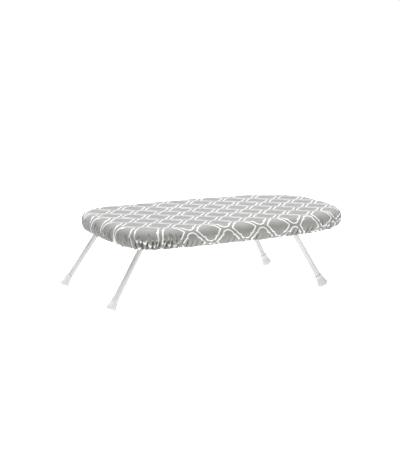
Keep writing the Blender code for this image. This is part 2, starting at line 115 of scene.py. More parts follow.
# ------------------------------------------------------------------ node helpers
class Shader:
    """A material's node tree, with short calls for the nodes that the finishes share."""

    def __init__(self, name, colour, roughness):
        self.material = bpy.data.materials.new(name)
        self.material.use_nodes = True
        self.tree = self.material.node_tree
        self.principled = self.tree.nodes["Principled BSDF"]
        self.set("Base Color", (*colour, 1.0))
        self.set("Roughness", roughness)

    def set(self, socket, value):
        self.principled.inputs[socket].default_value = value

    def feed(self, socket, output):
        self.tree.links.new(output, self.principled.inputs[socket])

    def add(self, kind, **settings):
        node = self.tree.nodes.new(kind)
        for key, value in settings.items():
            setattr(node, key, value)
        return node

    def wire(self, node, inputs):
        """Connects or sets a node's inputs by name or number; returns the node."""
        for key, value in inputs.items():
            socket = node.inputs[key]
            if isinstance(value, bpy.types.NodeSocket):
                self.tree.links.new(value, socket)
            else:
                socket.default_value = value
        return node

    def math(self, operation, a, b=0.0, c=0.0):
        node = self.add("ShaderNodeMath", operation=operation)
        inputs = {0: a, 1: b}
        if operation == "MULTIPLY_ADD":
            inputs[2] = c
        return self.wire(node, inputs).outputs[0]

    def noise(self, vector, scale, detail=2.0, roughness=0.5):
        node = self.add("ShaderNodeTexNoise")
        self.wire(node, {"Vector": vector, "Scale": scale, "Detail": detail, "Roughness": roughness})
        return node.outputs["Fac"]

    def ramp(self, value, low, high, from_low=0.0, from_high=1.0):
        """Maps value from one range to another, smoothly and clamped."""
        node = self.add("ShaderNodeMapRange", interpolation_type="SMOOTHSTEP")
        inputs = {"Value": value, "From Min": from_low, "From Max": from_high}
        inputs.update({"To Min": low, "To Max": high})
        return self.wire(node, inputs).outputs["Result"]

    def mix(self, factor, a, b):
        node = self.add("ShaderNodeMix", data_type="RGBA")
        colours = {6: a, 7: b}
        for key, value in colours.items():
            if isinstance(value, tuple):
                colours[key] = (*value, 1.0)
        return self.wire(node, {0: factor, **colours}).outputs[2]

    def bump(self, height, strength, distance, normal=None):
        node = self.add("ShaderNodeBump")
        inputs = {"Height": height, "Strength": strength, "Distance": distance}
        if normal is not None:
            inputs["Normal"] = normal
        return self.wire(node, inputs).outputs["Normal"]

    def object_place(self):
        return self.add("ShaderNodeTexCoord").outputs["Object"]

    def attribute(self, name, output="Vector"):
        return self.add("ShaderNodeAttribute", attribute_name=name).outputs[output]


# ------------------------------------------------------------------ finishes
PRINT_PERIOD = 0.0893  # from one printed tile to the next, along the board
PRINT_ROWS = 0.716 * PRINT_PERIOD  # and across it
PRINT_SHIFT = (0.0050, -0.0110)
PRINT_LINE = 0.0030
INK_EDGE = 0.0003  # how far a printed line fades out
PRINT_WANDER = 0.0020  # how far the print strays from its true place
THREAD_PITCH = 0.0007
TILE_POINT = 0.330 * PRINT_PERIOD  # half the tile's width, at its side points
TILE_STEP_X = 0.182 * PRINT_PERIOD
TILE_STEP_Y = 0.180 * PRINT_PERIOD
LOBE_RADIUS = 0.151 * PRINT_PERIOD
LOBE_CENTRE = 0.162 * PRINT_PERIOD


def tile_distance(shader, u, v, shift_u, shift_v):
    """Distance from the outline of the nearest tile of one row set, negative inside.
    A tile is a diamond with its top and bottom cut off, and a round lobe there."""
    across = shader.math("PINGPONG", shader.math("ADD", u, shift_u), PRINT_PERIOD / 2)
    up = shader.math("PINGPONG", shader.math("ADD", v, shift_v), PRINT_ROWS / 2)
    run = TILE_POINT - TILE_STEP_X
    slope = math.hypot(run, TILE_STEP_Y)
    side = shader.math("MULTIPLY", across, TILE_STEP_Y / slope)
    side = shader.math("MULTIPLY_ADD", up, run / slope, side)
    side = shader.math("SUBTRACT", side, TILE_POINT * TILE_STEP_Y / slope)
    step = shader.math("SUBTRACT", up, TILE_STEP_Y)
    diamond = shader.math("MAXIMUM", side, step)
    rise = shader.math("SUBTRACT", up, LOBE_CENTRE)
    squares = shader.math("MULTIPLY_ADD", across, across, shader.math("MULTIPLY", rise, rise))
    lobe = shader.math("SUBTRACT", shader.math("SQRT", squares), LOBE_RADIUS)
    return shader.math("MINIMUM", diamond, lobe)


def weave(shader, u, v, pitch):
    """Height of a plain weave: warp and weft swap over from thread to thread."""
    warp = shader.math("SINE", shader.math("MULTIPLY", u, math.pi / pitch))
    weft = shader.math("SINE", shader.math("MULTIPLY", v, math.pi / pitch))
    return shader.math("MULTIPLY", warp, weft)


def cotton(name, printed):
    """Woven cotton in warm grey; printed gives it the white trellis and paints shade into the deep folds.
    """
    grey, shade = (0.345, 0.345, 0.323), (0.288, 0.288, 0.268)
    # deep is not the cloth's own colour: it is a painted shade colour that the deep folds are darkened
    # towards.
    white, deep = (0.87, 0.87, 0.87), (0.08, 0.08, 0.075)
    shader = Shader(name, grey, 0.85)
    place = shader.attribute("cloth")
    wander = shader.add("ShaderNodeTexNoise")
    shader.wire(wander, {"Vector": place, "Scale": 60.0, "Detail": 1.0})
    offset = shader.add("ShaderNodeVectorMath", operation="MULTIPLY_ADD")
    centred = shader.add("ShaderNodeVectorMath", operation="SUBTRACT")
    shader.wire(centred, {0: wander.outputs["Color"], 1: (0.5, 0.5, 0.5)})
    shader.wire(offset, {0: centred.outputs[0], 1: (PRINT_WANDER, PRINT_WANDER, 0.0), 2: place})
    split = shader.add("ShaderNodeSeparateXYZ")
    shader.wire(split, {0: offset.outputs[0]})
    u, v = split.outputs["X"], split.outputs["Y"]
    threads = weave(shader, u, v, THREAD_PITCH)
    slub = shader.noise(place, 900.0, 3.0, 0.7)
    cloud = shader.noise(place, 38.0, 4.0, 0.6)
    tone = shader.math("MULTIPLY_ADD", shader.math("ADD", slub, cloud), 0.5, 0.0)
    tone = shader.math("MULTIPLY_ADD", threads, 0.05, tone)
    cloth_colour = shader.mix(shader.ramp(tone, 0.0, 1.0, 0.36, 0.64), shade, grey)
    if printed:
        first = tile_distance(shader, u, v, PRINT_SHIFT[0], PRINT_SHIFT[1])
        second = tile_distance(
            shader, u, v, PRINT_SHIFT[0] + PRINT_PERIOD / 2, PRINT_SHIFT[1] + PRINT_ROWS / 2
        )
        nearest = shader.math("MINIMUM", shader.math("ABSOLUTE", first), shader.math("ABSOLUTE", second))
        ragged = shader.math("MULTIPLY_ADD", slub, 0.0006, nearest)
        half = PRINT_LINE / 2 + INK_EDGE
        ink = shader.ramp(ragged, 1.0, 0.0, half - INK_EDGE, half + INK_EDGE)
        cloth_colour = shader.mix(ink, cloth_colour, white)
        # Painted shade: the cloth is darkened towards the near-black deep colour where it lies deep in a
        # fold.
        shadow = shader.ramp(shader.attribute("painted_fold_shade", "Fac"), 0.0, 0.88)
        cloth_colour = shader.mix(shadow, cloth_colour, deep)
    shader.feed("Base Color", cloth_colour)
    shader.feed("Roughness", shader.ramp(tone, 0.92, 0.78))
    normal = shader.bump(threads, 0.35, 0.00012)
    shader.feed("Normal", shader.bump(slub, 0.3, 0.00015, normal))
    shader.set("Sheen Weight", 1.0)
    shader.set("Sheen Roughness", 0.27)
    shader.set("Sheen Tint", (0.79, 0.81, 0.97, 1.0))
    shader.set("Specular IOR Level", 0.25)
    return shader.material


def fibrous(name, colour, shade, scale, depth):
    """Felt and tape: short matted fibres."""
    shader = Shader(name, colour, 0.95)
    place = shader.object_place()
    fibre = shader.noise(place, scale, 5.0, 0.75)
    patch = shader.noise(place, scale / 14, 2.0, 0.5)
    tone = shader.math("MULTIPLY_ADD", fibre, 0.6, shader.math("MULTIPLY", patch, 0.4))
    shader.feed("Base Color", shader.mix(shader.ramp(tone, 0.0, 1.0, 0.35, 0.65), shade, colour))
    shader.feed("Roughness", shader.ramp(fibre, 0.85, 1.0))
    shader.feed("Normal", shader.bump(fibre, 0.5, depth))
    shader.set("Sheen Weight", 0.2)
    return shader.material


def powder_coat(name, colour, shade):
    """White powder-coated steel: faint orange peel, slightly uneven in colour and gloss."""
    shader = Shader(name, colour, 0.36)
    place = shader.object_place()
    peel = shader.noise(place, 900.0, 2.0, 0.5)
    patch = shader.noise(place, 24.0, 3.0, 0.6)
    shader.feed("Base Color", shader.mix(shader.ramp(patch, 0.0, 1.0, 0.3, 0.7), shade, colour))
    uneven = shader.math("MULTIPLY_ADD", peel, 0.5, patch)
    shader.feed("Roughness", shader.ramp(uneven, 0.30, 0.46, 0.5, 1.0))
    shader.feed("Normal", shader.bump(peel, 0.12, 0.00012))
    shader.set("Coat Weight", 0.15)
    shader.set("Coat Roughness", 0.25)
    return shader.material


def bare_steel(name, colour, shade, roughness):
    """Bare steel: crystalline patches and fine scratches."""
    shader = Shader(name, colour, roughness)
    shader.set("Metallic", 1.0)
    place = shader.object_place()
    spangle = shader.add("ShaderNodeTexVoronoi")
    shader.wire(spangle, {"Vector": place, "Scale": 260.0})
    scratch = shader.noise(place, 1400.0, 2.0, 0.6)
    shader.feed("Base Color", shader.mix(spangle.outputs["Distance"], shade, colour))
    shader.feed("Roughness", shader.ramp(scratch, roughness - 0.1, roughness + 0.14))
    shader.feed("Normal", shader.bump(scratch, 0.1, 0.00008))
    return shader.material


def moulded(name, colour, shade, soft):
    """Moulded white plastic, slightly cloudy; soft is how far light passes into it."""
    shader = Shader(name, colour, 0.48)
    place = shader.object_place()
    cloud = shader.noise(place, 90.0, 3.0, 0.5)
    grain = shader.noise(place, 1600.0, 2.0, 0.5)
    shader.feed("Base Color", shader.mix(shader.ramp(cloud, 0.0, 1.0, 0.3, 0.7), shade, colour))
    shader.feed("Roughness", shader.ramp(grain, 0.40, 0.56))
    shader.feed("Normal", shader.bump(grain, 0.12, 0.0001))
    shader.set("Subsurface Weight", soft)
    shader.set("Subsurface Radius", (0.004, 0.004, 0.004))
    shader.set("Subsurface Scale", 1.0)
    return shader.material


FINISHES = {
    "cotton": cotton("printed_cotton", True),
    "lining": cotton("plain_cotton", False),
    "tape": fibrous("elastic_tape", (0.70, 0.68, 0.61), (0.58, 0.56, 0.50), 1500.0, 0.0002),
    "felt": fibrous("pressed_felt", (0.62, 0.61, 0.57), (0.42, 0.41, 0.38), 700.0, 0.0005),
    "coat": powder_coat("white_powder_coat", (0.76, 0.76, 0.77), (0.72, 0.72, 0.73)),
    "rivet": bare_steel("rivet_steel_finish", (0.72, 0.72, 0.73), (0.60, 0.60, 0.61), 0.26),
    "cap": moulded("cap_plastic_finish", (0.82, 0.82, 0.825), (0.77, 0.77, 0.775), 0.25),
    "clip": moulded("clip_plastic_finish", (0.82, 0.82, 0.80), (0.75, 0.75, 0.73), 0.1),
}


# ------------------------------------------------------------------ mesh helpers
def new_piece(name, verts, faces, finish, body, replaced=(), flat=False):
    mesh = bpy.data.meshes.new(name)
    mesh.from_pydata([tuple(v) for v in verts], [], faces)
    mesh.validate()
    if not flat:
        mesh.shade_smooth()
    return finish_piece(name, mesh, finish, body, replaced)


def finish_piece(name, mesh, finish, body, replaced=()):
    piece = bpy.data.objects.new(name, mesh)
    bpy.context.scene.collection.objects.link(piece)
    mesh.materials.append(FINISHES[finish])
    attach(piece, body)
    if replaced:
        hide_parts(*replaced)
    return piece


def grid_faces(rows, columns, wrap):
    """Quads between neighbouring rows of a grid; wrap joins each row's last column to its first."""
    faces = []
    for row in range(rows - 1):
        for column in range(columns if wrap else columns - 1):
            after = (column + 1) % columns
            here, below = row * columns, (row + 1) * columns
            faces.append((here + column, below + column, below + after, here + after))
    return faces


def sweep(points, radius, sides, closed=False):
    """Vertices and faces of a tube along points, its ends filled unless it is closed."""
    points = np.asarray(points, float)
    count = len(points)
    ahead = np.roll(points, -1, axis=0) - points
    behind = points - np.roll(points, 1, axis=0)
    if not closed:
        ahead[-1] = behind[-1]
        behind[0] = ahead[0]
    ahead /= np.linalg.norm(ahead, axis=1)[:, None]
    behind /= np.linalg.norm(behind, axis=1)[:, None]
    along = ahead + behind
    along /= np.linalg.norm(along, axis=1)[:, None]
    normal = np.zeros_like(points)
    start = np.cross(along[0], (0.31, 0.17, 0.93))
    normal[0] = start / np.linalg.norm(start)
    for i in range(1, count):
        carried = normal[i - 1] - along[i] * (normal[i - 1] @ along[i])
        normal[i] = carried / np.linalg.norm(carried)
    if closed:
        carried = normal[-1] - along[0] * (normal[-1] @ along[0])
        side = np.cross(along[0], normal[0])
        twist = math.atan2(carried @ side, carried @ normal[0])
        unwind = -twist * np.arange(count) / count
        sides_way = np.cross(along, normal)
        normal = normal * np.cos(unwind)[:, None] + sides_way * np.sin(unwind)[:, None]
    other = np.cross(along, normal)
    verts = []
    for i in range(count):
        for k in range(sides):
            angle = 2 * math.pi * k / sides
            verts.append(points[i] + radius * (normal[i] * math.cos(angle) + other[i] * math.sin(angle)))
    faces = [face[::-1] for face in grid_faces(count, sides, True)]
    if closed:
        last = (count - 1) * sides
        for k in range(sides):
            faces.append((last + k, last + (k + 1) % sides, (k + 1) % sides, k))
    else:
        faces.append(tuple(range(sides))[::-1])
        faces.append(tuple((count - 1) * sides + k for k in range(sides)))
    return verts, faces


def turned(profile, sides):
    """Vertices and faces of a turned piece about Z: profile is (radius, height), both ends on the axis."""
    verts = [(0.0, 0.0, profile[0][1])]
    for radius, height in profile[1:-1]:
        for k in range(sides):
            angle = 2 * math.pi * k / sides
            verts.append((radius * math.cos(angle), radius * math.sin(angle), height))
    verts.append((0.0, 0.0, profile[-1][1]))
    faces = []
    rings = len(profile) - 2
    for k in range(sides):
        after = (k + 1) % sides
        faces.append((0, 1 + after, 1 + k))
        for ring in range(rings - 1):
            here, below = 1 + ring * sides, 1 + (ring + 1) * sides
            faces.append((here + k, here + after, below + after, below + k))
        last = 1 + (rings - 1) * sides
        faces.append((last + k, last + after, len(verts) - 1))
    return verts, faces


# ------------------------------------------------------------------ the board's outline
def dense_outline(count=6000):
    """Points and outward normals along the +Y half, from the heel to the nose, close together."""
    turn = np.linspace(0.0, math.pi / 2, count)
    points, normals = [], []
    for side, reach, power in ((-1, HEEL_REACH, HEEL_POWER), (1, NOSE_REACH, NOSE_POWER)):
        along = np.cos(turn) ** (2 / power)
        across = np.sin(turn) ** (2 / power)
        place = np.stack([side * (HALF_LENGTH - reach * (1 - along)), HALF_WIDTH * across], axis=1)
        normal = np.stack([side * along ** (power - 1) / reach, across ** (power - 1) / HALF_WIDTH], axis=1)
        normal /= np.linalg.norm(normal, axis=1)[:, None]
        order = slice(None) if side < 0 else slice(None, None, -1)
        points.append(place[order])
        normals.append(normal[order])
    return np.concatenate(points), np.concatenate(normals)


def smoothed(values, steps):
    """Values round a closed loop, averaged over about that many neighbours each way."""
    reach = int(steps * 3)
    weights = np.exp(-0.5 * (np.arange(-reach, reach + 1) / max(steps, 1e-6)) ** 2)
    weights /= weights.sum()
    padded = np.concatenate([values[-reach:], values, values[:reach]])
    return np.convolve(padded, weights, mode="valid")


def outline_columns(half_count, crowding):
    """Columns round the whole outline: points, normals, distance along it and curvature.
    crowding draws columns together where the outline bends, and 0 spaces them evenly."""
    points, normals = dense_outline()
    steps = np.linalg.norm(np.diff(points, axis=0), axis=1)
    travelled = np.concatenate([[0.0], np.cumsum(steps)])
    even = np.linspace(0.0, travelled[-1], 1200)
    angle = np.unwrap(np.arctan2(normals[:, 1], normals[:, 0]))
    bend = -np.gradient(np.interp(even, travelled, angle), even)
    mirrored = np.concatenate([bend, bend[::-1]])
    bend = smoothed(mirrored, 14)[: len(bend)]
    density = np.cumsum(1 + crowding * bend)
    density = (density - density[0]) / (density[-1] - density[0])
    at = np.interp(np.linspace(0, 1, half_count + 1), density, even)
    half = [np.interp(at, travelled, column) for column in (*points.T, *normals.T)]
    curve = np.interp(at, even, bend)
    half[1][0] = half[1][-1] = 0.0
    whole = [np.concatenate([c, sign * c[-2:0:-1]]) for c, sign in zip(half, (1, -1, 1, -1))]
    place = np.stack(whole[:2], axis=1)
    normal = np.stack(whole[2:], axis=1)
    normal /= np.linalg.norm(normal, axis=1)[:, None]
    full = 2 * travelled[-1]
    distance = np.concatenate([at, full - at[-2:0:-1]])
    curvature = np.concatenate([curve, curve[-2:0:-1]])
    place[:, 0] += BOARD_X
    return place, normal, distance, curvature, full


# ------------------------------------------------------------------ the cotton cover
COVER_HALF_COLUMNS = 500
COVER_CROWDING = 0.09
EDGE_ROWS = 13
SIDE_ROWS = 22
TOP_ROWS = 8
CLOTH_THICKNESS = 0.0008
TAPE_RADIUS = 0.0015
PLEAT_PITCH = 0.0135
PLEAT_HEIGHT = 0.0050  # at most
PINCH_ABOVE_HEM = 0.0075
PINCH_DEPTH = 0.0046
PINCH_WIDTH = 0.0019
FRILL_HEIGHT = 0.0022
HEM_BAND = 0.009  # above the hem, where the folds die down
HEM_BAND_LOSS = 0.62

# The print leans a little, and its front edge is drawn towards the wide end, to follow the photo.
CLOTH_TURN = 0.0115
CLOTH_SKEW = 0.0270
CLOTH_PULL = 0.0089
CLOTH_EASE = 1.03
HEM_SAG = 0.0014  # how much lower the hem hangs along the front
HEEL_HOLD = 0.60  # how much less the print moves on down the heel's side
FOLD_LIMIT = 0.0052  # folds level off towards this far in or out
# The painted fold shade on the cover reaches its full strength at this depth.
PAINTED_SHADE_DEPTH = 0.0021  # a crease this deep is fully in shade
CREASES = 330
CREASE_DEPTHS = (0.0026, 0.0072)
CREASE_WIDTHS = (0.0011, 0.0021)
CREASE_TOPS = (0.010, 0.032)  # how far down the cloth each one starts
CREASE_TILT = 0.22
CREASE_LIMITS = (-0.0048, 0.0010)


def side_profile():
    """The cover's side from the flat top down to the hem, evenly spaced by distance along the cloth.
    Returns distance, inset, z and the outward direction (out, up) of each row."""
    dense = np.linspace(0.0, math.pi / 2, 400)
    drop = RIM_Z - HEM_Z
    inset = np.concatenate([EDGE_RADIUS * (1 - np.sin(dense)), HEM_INSET * (1 - np.cos(dense))])
    z = np.concatenate([RIM_Z + EDGE_RADIUS * np.cos(dense), RIM_Z - drop * np.sin(dense)])
    steps = np.hypot(np.diff(inset), np.diff(z))
    run = np.concatenate([[0.0], np.cumsum(steps)])
    edge_run = EDGE_RADIUS * math.pi / 2
    at = np.concatenate(
        [np.linspace(0.0, edge_run, EDGE_ROWS), np.linspace(edge_run, run[-1], SIDE_ROWS + 1)[1:]]
    )
    inset = np.interp(at, run, inset)
    z = np.interp(at, run, z)
    out = -np.gradient(z, at)
    up = -np.gradient(inset, at)
    length = np.hypot(out, up)
    return at, inset, z, out / length, up / length


def wander(rng, distance, full, waves):
    """Smooth random values round the loop, about -1 to 1: the sum of a few waves of these counts."""
    total = np.zeros_like(distance)
    for count in waves:
        phase = rng.uniform(0, 2 * math.pi)
        total += rng.uniform(0.5, 1.0) * np.cos(2 * math.pi * count * distance / full + phase)
    return total / math.sqrt(len(waves))


def rise(values, low, high):
    """0 below low, 1 above high, smooth between."""
    share = np.clip((values - low) / (high - low), 0.0, 1.0)
    return share * share * (3 - 2 * share)


def creases(rng, distance, full, run, tension):
    """Narrow folds pressed in from the hem upwards, most of them where the cloth is gathered tightest."""
    depth = np.zeros((len(run), len(distance)))
    for _ in range(CREASES):
        middle = rng.uniform(0, full)
        deep = rng.uniform(*CREASE_DEPTHS)
        width = rng.uniform(*CREASE_WIDTHS)
        top = rng.uniform(*CREASE_TOPS)
        tilt = rng.uniform(-CREASE_TILT, CREASE_TILT)
        strength = np.interp(middle, distance, tension)
        if strength < rng.uniform(0.15, 0.95):
            continue
        line = middle + tilt * (run - run[-1])
        away = distance[None] - line[:, None]
        away = (away + full / 2) % full - full / 2
        reach = rise(run, top, top + 0.016)[:, None]
        spread = width * (0.6 + 0.4 * reach)
        lips = 0.45 * np.exp(-((np.abs(away) - 2.2 * spread) ** 2) / spread**2)
        depth += deep * strength * reach * (lips - np.exp(-((away / spread) ** 2)))
    return np.clip(depth, *CREASE_LIMITS)


def spare_cloth(run, inset, bend, near_heel, spread):
    """Square root of the share of spare cloth at each place: what the outline's bend leaves over,
    and more given towards the hem, at the heel and at the corners."""
    flat = run - EDGE_RADIUS
    excess = (1 + bend[None] * flat[:, None]) / np.maximum(1 - bend[None] * inset[:, None], 0.35)
    spare = np.clip(excess - 1, 0.0, 1.6)
    drawn_in = (0.05 + 0.22 * near_heel + 0.5 * spread)[None]
    return np.sqrt(spare + drawn_in * rise(run, 0.020, run[-1])[:, None] ** 1.5)


def pleat_folds(rng, distance, full, run, narrowing, gather):
    """Rounded folds that widen towards the hem, with the phase of each place among them."""
    spacing = np.gradient(distance)
    pitch = PLEAT_PITCH * (1 + 0.22 * wander(rng, distance, full, (9, 14, 23)))
    phase = np.cumsum(spacing / pitch)
    turns = round(phase[-1])
    phase *= turns / phase[-1]
    number = np.floor(phase).astype(int) % turns
    depth = rng.uniform(0.75, 1.15, turns)
    start = rng.uniform(0.014, 0.030, turns)
    mixed = smoothed(depth[number], 3)
    begins = smoothed(start[number], 3)
    lean = 0.9 * wander(rng, distance, full, (17, 29, 41))
    fall = np.clip((run[:, None] - begins[None]) / (run[-1] - begins[None]), 0.0, 1.0)
    angle = 2 * math.pi * phase[None] + lean[None] * fall
    crest = (0.5 + 0.5 * np.cos(angle)) ** 0.55
    fine = np.cos(2 * angle + 1.3) * rise(fall, 0.5, 1.0)
    height = np.minimum(pitch[None] * narrowing / math.pi * gather * 1.35, PLEAT_HEIGHT)
    height = height * mixed[None] * rise(fall, 0.0, 0.6)
    return height * (2 * crest - 1.25) + 0.18 * height * fine, angle


def pinch_folds(run, angle, tight):
    """The groove that the elastic draws just above the hem, and the frill of the hem below it."""
    below = run[:, None] - (run[-1] - PINCH_ABOVE_HEM) + 0.0012 * np.cos(angle * 0.5 + 1.0)
    groove = -PINCH_DEPTH * np.exp(-((below / PINCH_WIDTH) ** 2))
    groove *= 0.70 + 0.30 * np.cos(angle * 1.5 + 2.2)
    frill = FRILL_HEIGHT * rise(below, 0.0, PINCH_ABOVE_HEM) * (0.6 + 0.5 * np.cos(angle * 1.5 + 0.8))
    return (groove + frill) * tight[None]


def slack_folds(rng, distance, full, run, tight):
    """Broad slack in the side and a fine ripple at the hem."""
    slack = wander(rng, distance, full, (13, 19, 31, 47))
    slack = 0.0007 * slack[None] * rise(run[:, None], 0.024, 0.05)
    small = wander(rng, distance, full, (140, 171, 203))
    at_hem = rise(run[:, None], run[-1] - 0.012, run[-1])
    return slack + 0.00045 * small[None] * at_hem * (1 - tight[None] * 0.5)


def print_places(place, normal, base, run, z):
    """Each point's place in the print, held back at the heel to follow the photo, and the cloth's
    cut edge, which knows nothing of that."""
    held_back = HEEL_HOLD * rise(-place[:, 0], -BOARD_X + 0.18, -BOARD_X + 0.24)
    travelled = run[:, None] * (CLOTH_EASE - held_back[None])
    cloth = base[0][None] + travelled[..., None] * normal[None]
    pulled = CLOTH_PULL * np.clip(-normal[:, 1], 0.0, 1.0)
    cloth[..., 0] -= pulled[None] * ((TOP_Z - z) / (TOP_Z - HEM_Z))[:, None]
    return cloth, base[0] + CLOTH_EASE * run[-1] * normal


def cover_surface():
    """The cover's side: points (rows, columns, 3), their places in the print, how deep each lies in a
    fold as the mask for the painted fold shade, and the cloth's cut edge."""
    rng = np.random.default_rng(SEED)
    place, normal, distance, curvature, full = outline_columns(COVER_HALF_COLUMNS, COVER_CROWDING)
    run, inset, z, out, up = side_profile()
    step = np.gradient(distance).mean()
    bend = smoothed(curvature, 0.010 / step)
    spread = smoothed(np.clip(bend / 14.0, 0.0, 1.0), 0.030 / step)
    near_heel = rise(-place[:, 0], -BOARD_X + 0.10, -BOARD_X + 0.20)
    tension = np.clip(spread * 1.5 + 0.35 * near_heel, 0.0, 1.0)
    tight = 0.10 + 0.90 * tension

    gather = spare_cloth(run, inset, bend, near_heel, spread)
    narrowing = np.maximum(1 - bend[None] * inset[:, None], 0.4)
    pleats, angle = pleat_folds(rng, distance, full, run, narrowing, gather)
    taper = 1 - HEM_BAND_LOSS * rise(run, run[-1] - HEM_BAND, run[-1])[:, None]
    folds = (pleats + creases(rng, distance, full, run, tension)) * taper
    folds = folds + pinch_folds(run, angle, tight) + slack_folds(rng, distance, full, run, tight)
    push = FOLD_LIMIT * np.tanh(folds / FOLD_LIMIT)

    base = place[None] - inset[:, None, None] * normal[None]
    points = np.zeros((len(run), len(place), 3))
    points[..., :2] = base + (push * out[:, None])[..., None] * normal[None]
    hem_wave = 0.0007 * wander(rng, distance, full, (11, 26, 37))
    hem_wave += 0.0006 * tight * (1 + np.cos(angle[-1] * 0.5))
    hem_wave -= HEM_SAG * np.clip(-normal[:, 1], 0.0, 1.0)
    lift = up * (1 - 0.75 * rise(run, run[-1] - 0.012, run[-1]))
    points[..., 2] = z[:, None] + push * lift[:, None] + hem_wave[None] * rise(run[:, None], 0.045, run[-1])
    cloth, cut_edge = print_places(place, normal, base, run, z)
    # The third value is the mask for the painted shade in the folds.
    return points, cloth, np.clip(-push / PAINTED_SHADE_DEPTH, 0.0, 1.0), cut_edge


SPINE_ENDS = (0.11, 0.13)  # from the heel and from the nose


def spine(columns_x):
    """Where each column of the top ends, on the board's middle line."""
    low, high = columns_x.min(), columns_x.max()
    share = (columns_x - low) / (high - low)
    middle_low, middle_high = low + SPINE_ENDS[0], high - SPINE_ENDS[1]
    return middle_low + (middle_high - middle_low) * share


def padding_swell(x, y):
    """Slight unevenness of the padding under the cover, as a height."""
    height = np.zeros_like(x)
    rng = np.random.default_rng(SEED + 1)
    for _ in range(14):
        length = rng.uniform(0.05, 0.14)
        angle = rng.uniform(0, math.pi)
        phase = rng.uniform(0, 2 * math.pi)
        height += np.cos(2 * math.pi * (x * math.cos(angle) + y * math.sin(angle)) / length + phase)
    return 0.00012 * height - 0.0002


def make_cover():
    points, cloth, painted_fold_shade, cut_edge = cover_surface()
    columns = points.shape[1]
    edge = points[0, :, :2]
    target = np.stack([spine(edge[:, 0]), np.zeros(columns)], axis=1)
    share = np.linspace(0.99, 0.0, TOP_ROWS + 1)[:-1] ** 1.3
    top = edge[None] + share[:, None, None] * (target - edge)[None]
    top_points = np.concatenate([top, np.full((*top.shape[:2], 1), TOP_Z)], axis=2)
    points = np.concatenate([top_points, points])
    cloth = np.concatenate([top, cloth])
    painted_fold_shade = np.concatenate([np.zeros((TOP_ROWS, columns)), painted_fold_shade])
    swell = padding_swell(points[..., 0], points[..., 1])
    fade = 1 - rise(TOP_Z - points[..., 2], 0.0, EDGE_RADIUS)
    points[..., 2] += swell * fade
    rows = len(points)
    faces = grid_faces(rows, columns, True)
    half = columns // 2
    for i in range(half):
        quad = (i, i + 1, (columns - i - 1) % columns, (columns - i) % columns)
        faces.append(tuple(dict.fromkeys(quad)))
    piece = new_piece(
        "cotton_cover", points.reshape(-1, 3), faces, "cotton", "board", ["cover"]
    )
    mark_cloth(piece, cloth.reshape(-1, 2), painted_fold_shade.ravel())
    point_up(piece)
    piece.data.materials.append(FINISHES["lining"])
    solid = piece.modifiers.new("cloth_thickness", "SOLIDIFY")
    solid.thickness = CLOTH_THICKNESS
    solid.offset = -1.0
    solid.material_offset = 1
    return piece, points[-1], cut_edge


def mark_cloth(piece, cloth, painted_fold_shade):
    """Gives each point its place in the print and how deep it lies in a fold, which the cotton finish
    darkens as painted shade.
    """
    x, y = cloth.T
    printed = np.zeros((len(cloth), 3), np.float32)
    printed[:, 0] = x + CLOTH_SKEW * y
    printed[:, 1] = y + CLOTH_TURN * x
    attribute = piece.data.attributes.new("cloth", "FLOAT_VECTOR", "POINT")
    attribute.data.foreach_set("vector", printed.ravel())
    attribute = piece.data.attributes.new("painted_fold_shade", "FLOAT", "POINT")
    attribute.data.foreach_set("value", painted_fold_shade.astype(np.float32))


def point_up(piece):
    """Turns every face the same way, with the top's facing up."""
    bm = bmesh.new()
    bm.from_mesh(piece.data)
    bmesh.ops.recalc_face_normals(bm, faces=bm.faces)
    bm.faces.ensure_lookup_table()
    highest = max(bm.faces, key=lambda face: face.calc_center_median().z)
    if highest.normal.z < 0:
        bmesh.ops.reverse_faces(bm, faces=bm.faces)
    bm.to_mesh(piece.data)
    bm.free()


def make_hem_tape(hem):
    """The rolled hem that holds the elastic, along the cover's lower edge."""
    verts, faces = sweep(hem[::2], TAPE_RADIUS, 8, closed=True)
    return new_piece("hem_tape", verts, faces, "tape", "board", ["hem_elastic"])


def dress_cover():
    cover, hem, cut_edge = make_cover()
    tape = make_hem_tape(hem)


# ------------------------------------------------------------------ padding, deck and rim
def outline_ring(inset, z):
    place, normal, _, _, _ = outline_columns(OUTLINE_COLUMNS, 0.02)
    return np.concatenate([place - inset * normal, np.full((len(place), 1), z)], axis=1)


def lofted(profile, close_start, close_end):
    """Vertices and faces through rings of the outline: profile is (inset, z) points."""
    rings = [outline_ring(inset, z) for inset, z in profile]
    columns = len(rings[0])
    faces = grid_faces(len(rings), columns, True)
    if close_start:
        faces.append(tuple(range(columns)))
    if close_end:
        faces.append(tuple(range((len(rings) - 1) * columns, len(rings) * columns))[::-1])
    return np.concatenate(rings), faces


PAD_UNDER_COVER = 0.0016
PAD_CLEARANCE = 0.0004
PAD_LIP_DROP = 0.004


def make_padding():
    """Felt over the deck and round the rim, its cut edge hanging below the rim's middle."""
    outer = EDGE_RADIUS - PAD_UNDER_COVER
    inner = RIM_RADIUS + PAD_CLEARANCE
    lip_z = RIM_Z - PAD_LIP_DROP
    outside = [
        (EDGE_RADIUS - outer * math.sin(a), RIM_Z + outer * math.cos(a))
        for a in np.linspace(0, math.pi / 2, 9)
    ]
    outside += [(PAD_UNDER_COVER + 0.0014, lip_z + 0.001)]
    inside = [
        (EDGE_RADIUS - inner * math.sin(a), RIM_Z + inner * math.cos(a))
        for a in np.linspace(math.pi / 2, 0.35, 7)
    ]
    lip = [(PAD_UNDER_COVER + 0.0024, lip_z), (EDGE_RADIUS - inner - PAD_CLEARANCE, lip_z)]
    deck = [(EDGE_RADIUS - 0.001, DECK_HIGH.z + PAD_CLEARANCE)]
    verts, faces = lofted(outside + lip + inside + deck, True, True)
    piece = new_piece("felt_padding", verts, faces, "felt", "board", ["felt_pad"])
    tidy_normals(piece, merge=False)


